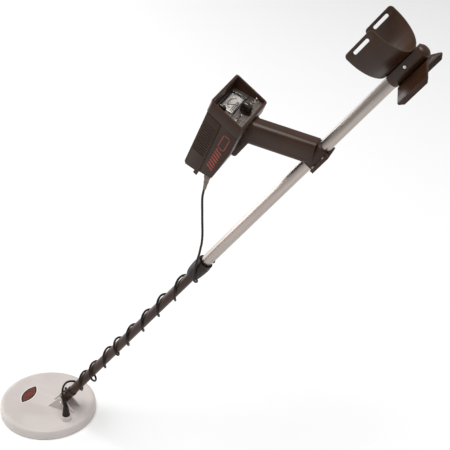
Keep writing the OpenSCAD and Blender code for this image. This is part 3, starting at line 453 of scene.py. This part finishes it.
def screw_heads(name, seats, axes, radius, height, slot_w=0.2):
    """Domed heads, each with a cross pressed in where |x| or |y| is under half the slot's width."""
    r = np.concatenate([np.linspace(0.02, 0.96, 22), [1.0, 1.0]])[:, None]
    a = np.linspace(0, 2 * np.pi, 48, endpoint=False)[None]
    x, y = r * np.cos(a), r * np.sin(a)
    z = (1 - r ** 4 * 0.45) + 0 * a
    z = z - 0.4 * (((abs(x) < slot_w / 2) | (abs(y) < slot_w / 2)) & (np.hypot(x, y) < 0.62))
    z[-1] = 0
    meshes = []
    for seat, axis in zip(seats, axes):
        axis = unit(np.asarray(axis, float))
        u = unit(np.cross(axis, [0.3, 0.5, 0.81]))
        v = np.cross(axis, u)
        meshes.append(seat + radius * (x[..., None] * u + y[..., None] * v) + height * z[..., None] * axis)
    whole = bpy.data.meshes.new(name)
    bm = bmesh.new()
    for grid in meshes:
        one = grid_mesh("head", grid[::-1])
        bm.from_mesh(one)
        bpy.data.meshes.remove(one)
    bm.to_mesh(whole)
    bm.free()
    whole.shade_smooth()
    return whole


normal_axis = on_stem([0, 1000, 0]) - PIVOT
top_seats = [on_stem([x, -9.98, s]) for s in (851, 877) for x in (-18.5, 18.5)]
fit(screw_heads("clamp_screw_tops", top_seats, [normal_axis] * 4, 0.0028, 0.0018), nickel,
    "upper_stem", "bright_metal", "clamp_screws", angle=40)

# ---------------------------------------------------------------- housing
# The electronics sit in a brown ABS box with a deep hood round its panel. A ribbed door slides
# forward off each side to reach the batteries.
mould("housing_body", 0.0009, brown_abs, "upper_stem", "brown_plastic", angle=25)
mould("hood", 0.0011, brown_abs, "upper_stem", "brown_plastic")
mould("battery_door_left", 0.0004, brown_abs, "battery_door_left", "brown_plastic")
mould("battery_door_right", 0.0004, brown_abs, "battery_door_right", "brown_plastic")
black_screw, tree, shader, place = start_finish("blackened_screw_steel", Metallic=1.0)
mottle(tree, shader, (place, "Object"), "#2b2927", "#45413e", 300, rough=(0.3, 0.45))
mould("housing_screws", 0.0004, black_screw, "upper_stem", "dark_screws")

# A plain red graphic is printed on both sides: seven slanted bars and an outlined box.
side_red, tree, shader, place = start_finish("orange_red_screen_print", Roughness=0.4, IOR=1.5)
mottle(tree, shader, (place, "Object"), "#8e3527", "#a3432f", 260)


def print_strokes(name, strokes, width, x_outer, finish, lift=0.0):
    """Each stroke from (s, n) to (s, n) becomes a thin plate of the line's width on the housing's side."""
    ends = np.array(strokes, float)
    along = unit(ends[:, 1] - ends[:, 0])
    square = np.stack([-along[:, 1], along[:, 0]], -1) * width / 2
    a, b = ends[:, 0] - along * width / 2, ends[:, 1] + along * width / 2
    ring = np.stack([a - square, b - square, b + square, a + square], 1)
    x = np.array([x_outer, x_outer + math.copysign(0.12 + lift, x_outer)])
    corners = np.concatenate([np.stack([np.full(ring.shape[:2], side_x), ring[..., 1], ring[..., 0]], -1)
                              for side_x in x], 1)
    mesh = bpy.data.meshes.new(name)
    mesh.from_pydata(on_stem(corners).reshape(-1, 3).tolist(), [],
                     (box_faces[None] + 8 * np.arange(len(ends))[:, None, None]).reshape(-1, 4).tolist())
    outward(mesh)
    return fit(mesh, finish, "upper_stem", "label_red", angle=30)


def on_band(t, h):
    """Along the printed bar by t (0 at the nose, 1 at the hood) and up it by h."""
    return [731 + 72 * t, 111.0 + 13.5 * t + h * (13.6 - 0.8 * t)]


frame_at = [on_band(0.64, 0), on_band(1, 0), on_band(1, 1), on_band(0.64, 1)]
strokes = [[frame_at[k], frame_at[(k + 1) % 4]] for k in range(4)]
bars = [[on_band(0.03 + 0.082 * k, 0.1), on_band(0.07 + 0.082 * k, 0.9)] for k in range(7)]
dashes = [[on_band(0.76, 0.34), on_band(0.9, 0.34)], [on_band(0.76, 0.66), on_band(0.9, 0.66)]]
for name, x in (("print_left", -59.95), ("print_right", 59.95)):
    print_strokes(name + "_frame", strokes, 1.5, x, side_red)
    print_strokes(name + "_slants", bars, 2.7, x, side_red)
    print_strokes(name + "_bar", dashes, 1.2, x, black_film)

# ---------------------------------------------------------------- control panel
# A brushed and lacquered aluminium plate closes the hood. Brushing runs across the panel, with
# lines 0.2 mm apart, drawn at 0.8 mm so that they show.
PANEL_TILT = math.radians(16)
PANEL_N, PANEL_S = 108 + 50 * 14 / 55 + 3.1, 831.0


def on_panel(points):
    """Panel millimetres (x right, y up the panel, z out of it) to metres."""
    x, y, z = np.moveaxis(np.asarray(points, float), -1, 0)
    n = PANEL_N + y * math.cos(PANEL_TILT) + z * math.sin(PANEL_TILT)
    s = PANEL_S - y * math.sin(PANEL_TILT) + z * math.cos(PANEL_TILT)
    return on_stem(np.stack([x, n, s], -1))


brushed, tree, shader, place = start_finish("brushed_aluminium_with_painted_hood_shade", Metallic=0.85, Anisotropic=0.4,
                                            Coat_Weight=0.2, Coat_Roughness=0.15)
strokes_map = add(tree, "ShaderNodeMapping", {"Scale": (12.0, 1250.0, 1250.0)}, {"Vector": (place, "Object")})
# Both tones are darker than the bare metal: painted shade from the deep hood, under the real brushing
# streaks.
mottle(tree, shader, (strokes_map, "Vector"), "#7d706a", "#a3968f", 1.0, rough=(0.3, 0.46), depth=0.00003,
       detail=3.0)
mould("control_panel", 0.0002, brushed, "upper_stem", "panel_metal")


def panel_plates(name, plates, z0, z1, finish, slot="black_plastic", body="upper_stem"):
    """Thin printed plates on the panel; each is a list of four corners (x, y)."""
    ring = np.array(plates, float)
    corners = np.concatenate([np.concatenate([ring, np.full((*ring.shape[:2], 1), z)], -1)
                              for z in (z0, z1)], 1)
    mesh = bpy.data.meshes.new(name)
    mesh.from_pydata(on_panel(corners).reshape(-1, 3).tolist(), [],
                     (box_faces[None] + 8 * np.arange(len(ring))[:, None, None]).reshape(-1, 4).tolist())
    outward(mesh)
    return fit(mesh, finish, body, slot, angle=30)


def bar_plate(x0, y0, x1, y1, width):
    """Four corners of a line from (x0, y0) to (x1, y1)."""
    d = unit(np.array([x1 - x0, y1 - y0], float))
    q = np.array([-d[1], d[0]]) * width / 2
    a, b = np.array([x0, y0]), np.array([x1, y1])
    return [a - q, b - q, b + q, a + q]


lines = [bar_plate(-31, 1, -31, 27, 1.1), bar_plate(20, 1, 20, 26, 1.1), bar_plate(-55, 27, 55, 27, 1.2)]
LARGE_KNOB, SMALL_KNOB = (2, 14.5), (-42, 45)
mark_turns = np.radians(np.arange(-135, 136, 27))


def dial_marks(knob, inner, outer, width, turns):
    """Radial lines round a knob, from one radius to another."""
    x, y = knob
    return [bar_plate(x + inner * math.sin(t), y + inner * math.cos(t),
                      x + outer * math.sin(t), y + outer * math.cos(t), width) for t in turns]


# The large knob's marks stop below the printed line over it.
knob_scale = dial_marks(LARGE_KNOB, 13.0, 14.8, 0.6,
                        [t for t in mark_turns if LARGE_KNOB[1] + 14.8 * math.cos(t) < 26.2])
small_scale = dial_marks(SMALL_KNOB, 9.0, 10.6, 0.5, mark_turns)
panel_plates("panel_print", lines + knob_scale + small_scale, 0.0, 0.12, black_film)

# ---------------------------------------------------------------- meter
# A moving-coil meter in a black case: a cream dial with an arc of plain ticks and a boxed strip,
# a red needle, and a clear window over all.
METER_X, METER_Y, METER_W, METER_H = 8.0, 42.5, 68.0, 29.0
mould("meter_case", 0.0004, black_nylon, "upper_stem", "black_plastic")
dial_paint, tree, shader, place = start_finish("cream_dial_paint", Roughness=0.6, IOR=1.5)
mottle(tree, shader, (place, "Object"), "#d9cfc8", "#e6ddd6", 150)
mould("meter_dial", 0.0001, dial_paint, "upper_stem", "meter_face")
arc = np.radians(np.linspace(-52, 52, 41))
centre = np.array([METER_X, METER_Y - 13])
rim = lambda t, r: centre + r * np.array([1.28 * math.sin(t), math.cos(t)])
scale = [[rim(a, 20.0), rim(b, 20.0), rim(b, 20.7), rim(a, 20.7)] for a, b in zip(arc[:-1], arc[1:])]
scale += [bar_plate(*rim(t, 17.5 if k % 5 else 16.2), *rim(t, 20.2), 0.45 if k % 5 else 0.8)
          for k, t in enumerate(np.radians(np.linspace(-52, 52, 21)))]
strip = [(METER_X - 24, METER_Y - 12), (METER_X + 10, METER_Y - 12), (METER_X + 10, METER_Y - 5.5),
         (METER_X - 24, METER_Y - 5.5)]
scale += [bar_plate(*strip[k], *strip[(k + 1) % 4], 0.9) for k in range(4)]
scale += [bar_plate(METER_X - 21 + 4.4 * k, METER_Y - 10.6, METER_X - 18.4 + 4.4 * k, METER_Y - 7, 2.1)
          for k in range(7)]
scale += [bar_plate(METER_X + 29.6, METER_Y - 12, METER_X + 29.6, METER_Y + 12, 3.6)]
panel_plates("meter_scale", scale, -0.7, -0.58, black_film, "meter_face")
edge_ticks = [bar_plate(METER_X + 28.4, METER_Y - 11 + 1.7 * k, METER_X + 30.8, METER_Y - 11 + 1.7 * k, 0.6)
              for k in range(14)]
edge_ticks += [bar_plate(METER_X + 32.6, METER_Y - 12.6, METER_X + 32.6, METER_Y + 12.6, 0.9)]
panel_plates("meter_edge_ticks", edge_ticks, -0.64, -0.5, white_film, "meter_face")
needle_red, tree, shader, place = start_finish("red_lacquered_aluminium", Roughness=0.35, IOR=1.5)
mottle(tree, shader, (place, "Object"), "#5c241b", "#743127", 300)
mould("meter_needle", 0.0001, needle_red, "meter_needle", "label_red")
# Clear styrene, with its faint edge tint.
window, tree, shader, place = start_finish("clear_moulded_styrene", Transmission_Weight=1.0, IOR=1.3,
                                           Roughness=0.02)
mottle(tree, shader, (place, "Object"), "#f4f7f6", "#ffffff", 60)
mould("meter_lens", 0.0003, window, "upper_stem", "clear_window")

# ---------------------------------------------------------------- knobs, switches and jack
# Skirted black knobs with a white line, two bat-handle toggles, and a plated jack with its nut.
mould("large_knob", 0.0003, black_nylon, "large_knob", "black_plastic")
mould("small_knob", 0.0003, black_nylon, "small_knob", "black_plastic")
for name, (x, y), start, stop, width in (("large_knob", LARGE_KNOB, 1.5, 7.6, 1.0),
                                        ("small_knob", SMALL_KNOB, 1.0, 6.6, 0.9)):
    panel_plates(name + "_line", [bar_plate(x, y + start, x, y + stop, width)], 14.4, 14.65, white_film,
                 body=name)
pot_metal, tree, shader, place = start_finish("cadmium_plated_pot_can", Metallic=1.0)
mottle(tree, shader, (place, "Object"), "#87827b", "#a39d95", 200, rough=(0.3, 0.45))
mould("potentiometers", 0.0003, pot_metal, "upper_stem", "bright_metal")
for hand in ("left", "right"):
    mould(hand + "_switch", 0.0002, nickel, "upper_stem", "bright_metal")
    mould(hand + "_lever", 0.0002, nickel, hand + "_lever", "bright_metal", angle=60)
mould("headphone_jack", 0.0003, nickel, "upper_stem", "bright_metal")

# ---------------------------------------------------------------- inside the housing
# The board, speaker, batteries and their snap clips, seen only with a door off or through a slot.
solder_mask, tree, shader, place = start_finish("green_solder_mask", Roughness=0.25, IOR=1.5)
mottle(tree, shader, (place, "Object"), "#24583a", "#37774f", 420, depth=0.00005)
mould("circuit_board", 0.0002, solder_mask, "upper_stem", "board_green")
paper_cone, tree, shader, place = start_finish("black_paper_speaker_cone", IOR=1.45)
mottle(tree, shader, (place, "Object"), "#2f2d2b", "#46423f", 700, rough=(0.7, 0.9), depth=0.0001)
mould("speaker", 0.0003, paper_cone, "upper_stem", "battery_skin")
printed_can, tree, shader, place = start_finish("printed_battery_can", Metallic=0.6, IOR=1.5)
mottle(tree, shader, (place, "Object"), "#292c30", "#3b3f45", 120, rough=(0.25, 0.4))
for node in ("battery_left", "battery_right"):
    mould(node, 0.0012, printed_can, "upper_stem", "battery_skin")
mould("battery_clips", 0.0005, black_nylon, "upper_stem", "black_plastic")

# ---------------------------------------------------------------- cable plug and socket
# A plated socket in the housing's nose and a plug with a knurled ring and a slim tail. The plating
# is dull and brownish, with a fine mottle of tone and roughness.
dull_plate, tree, shader, place = start_finish("dull_brown_grey_plating", Metallic=0.9)
mottle(tree, shader, (place, "Object"), "#5f544d", "#857970", 420, rough=(0.3, 0.5), depth=0.00004)
mould("cable_socket", 0.0003, dull_plate, "upper_stem", "bright_metal")
mould("cable_plug", 0.0003, dull_plate, "upper_stem", "bright_metal")

# ---------------------------------------------------------------- arm rest
# A brown cuff cradles the forearm, screwed to a socket over the tube's end. The stand below has two
# splayed legs with turned-down feet.
mould("arm_cuff", 0.0012, brown_abs, "upper_stem", "brown_plastic")
mould("cuff_socket", 0.0009, brown_abs, "upper_stem", "stem_plastic")
mould("stand", 0.0009, brown_abs, "upper_stem", "brown_plastic")
mould("cuff_screws", 0.0005, nickel, "upper_stem", "bright_metal")
mould("tube_end_plug", 0.0004, black_nylon, "upper_stem", "black_plastic")

# ---------------------------------------------------------------- floor and light
# A pale matt floor under the coil, one large softbox overhead, an upright card ahead of the
# detector that draws the bright line along the tube, and a white surround.
FLOOR_Z = PIVOT[2] - 0.040
floor_mesh = bpy.data.meshes.new("floor")
floor_mesh.from_pydata([(x, y, FLOOR_Z - 0.0002) for x, y in ((-14, -14), (14, -14), (14, 14), (-14, 14))],
                       [], [(0, 1, 2, 3)])
floor_paint, tree, shader, place = start_finish("white_floor_paint", Roughness=0.85)
shader.inputs["Base Color"].default_value = linear("#fdfdfd")
floor_mesh.materials.append(floor_paint)
floor = bpy.data.objects.new("floor", floor_mesh)
bpy.context.scene.collection.objects.link(floor)
world = bpy.data.worlds.new("studio")
bpy.context.scene.world = world
world.use_nodes = True
world.node_tree.nodes["Background"].inputs["Color"].default_value = linear("#ffffff")
world.node_tree.nodes["Background"].inputs["Strength"].default_value = 0.4


def softbox(name, at, aim, width, height, watts):
    """An area light at one point, turned towards another."""
    lamp = bpy.data.objects.new(name, bpy.data.lights.new(name, "AREA"))
    bpy.context.scene.collection.objects.link(lamp)
    lamp.data.shape, lamp.data.size, lamp.data.size_y, lamp.data.energy = "RECTANGLE", width, height, watts
    z = unit(np.array(at, float) - np.array(aim, float))
    x = unit(np.cross([0, 0, 1.0], z))
    y = np.cross(z, x)
    lamp.matrix_world = [[x[i], y[i], z[i], at[i]] for i in range(3)] + [[0, 0, 0, 1]]
    lamp.matrix_world.transpose()


softbox("overhead", (-0.5, 0.3, 4.2), (0, 0.2, -0.4), 3.0, 3.0, 176)
softbox("tube_card", (0.8, 3.4, 0), (0, 0.1, -0.1), 4.6, 1.5, 62)
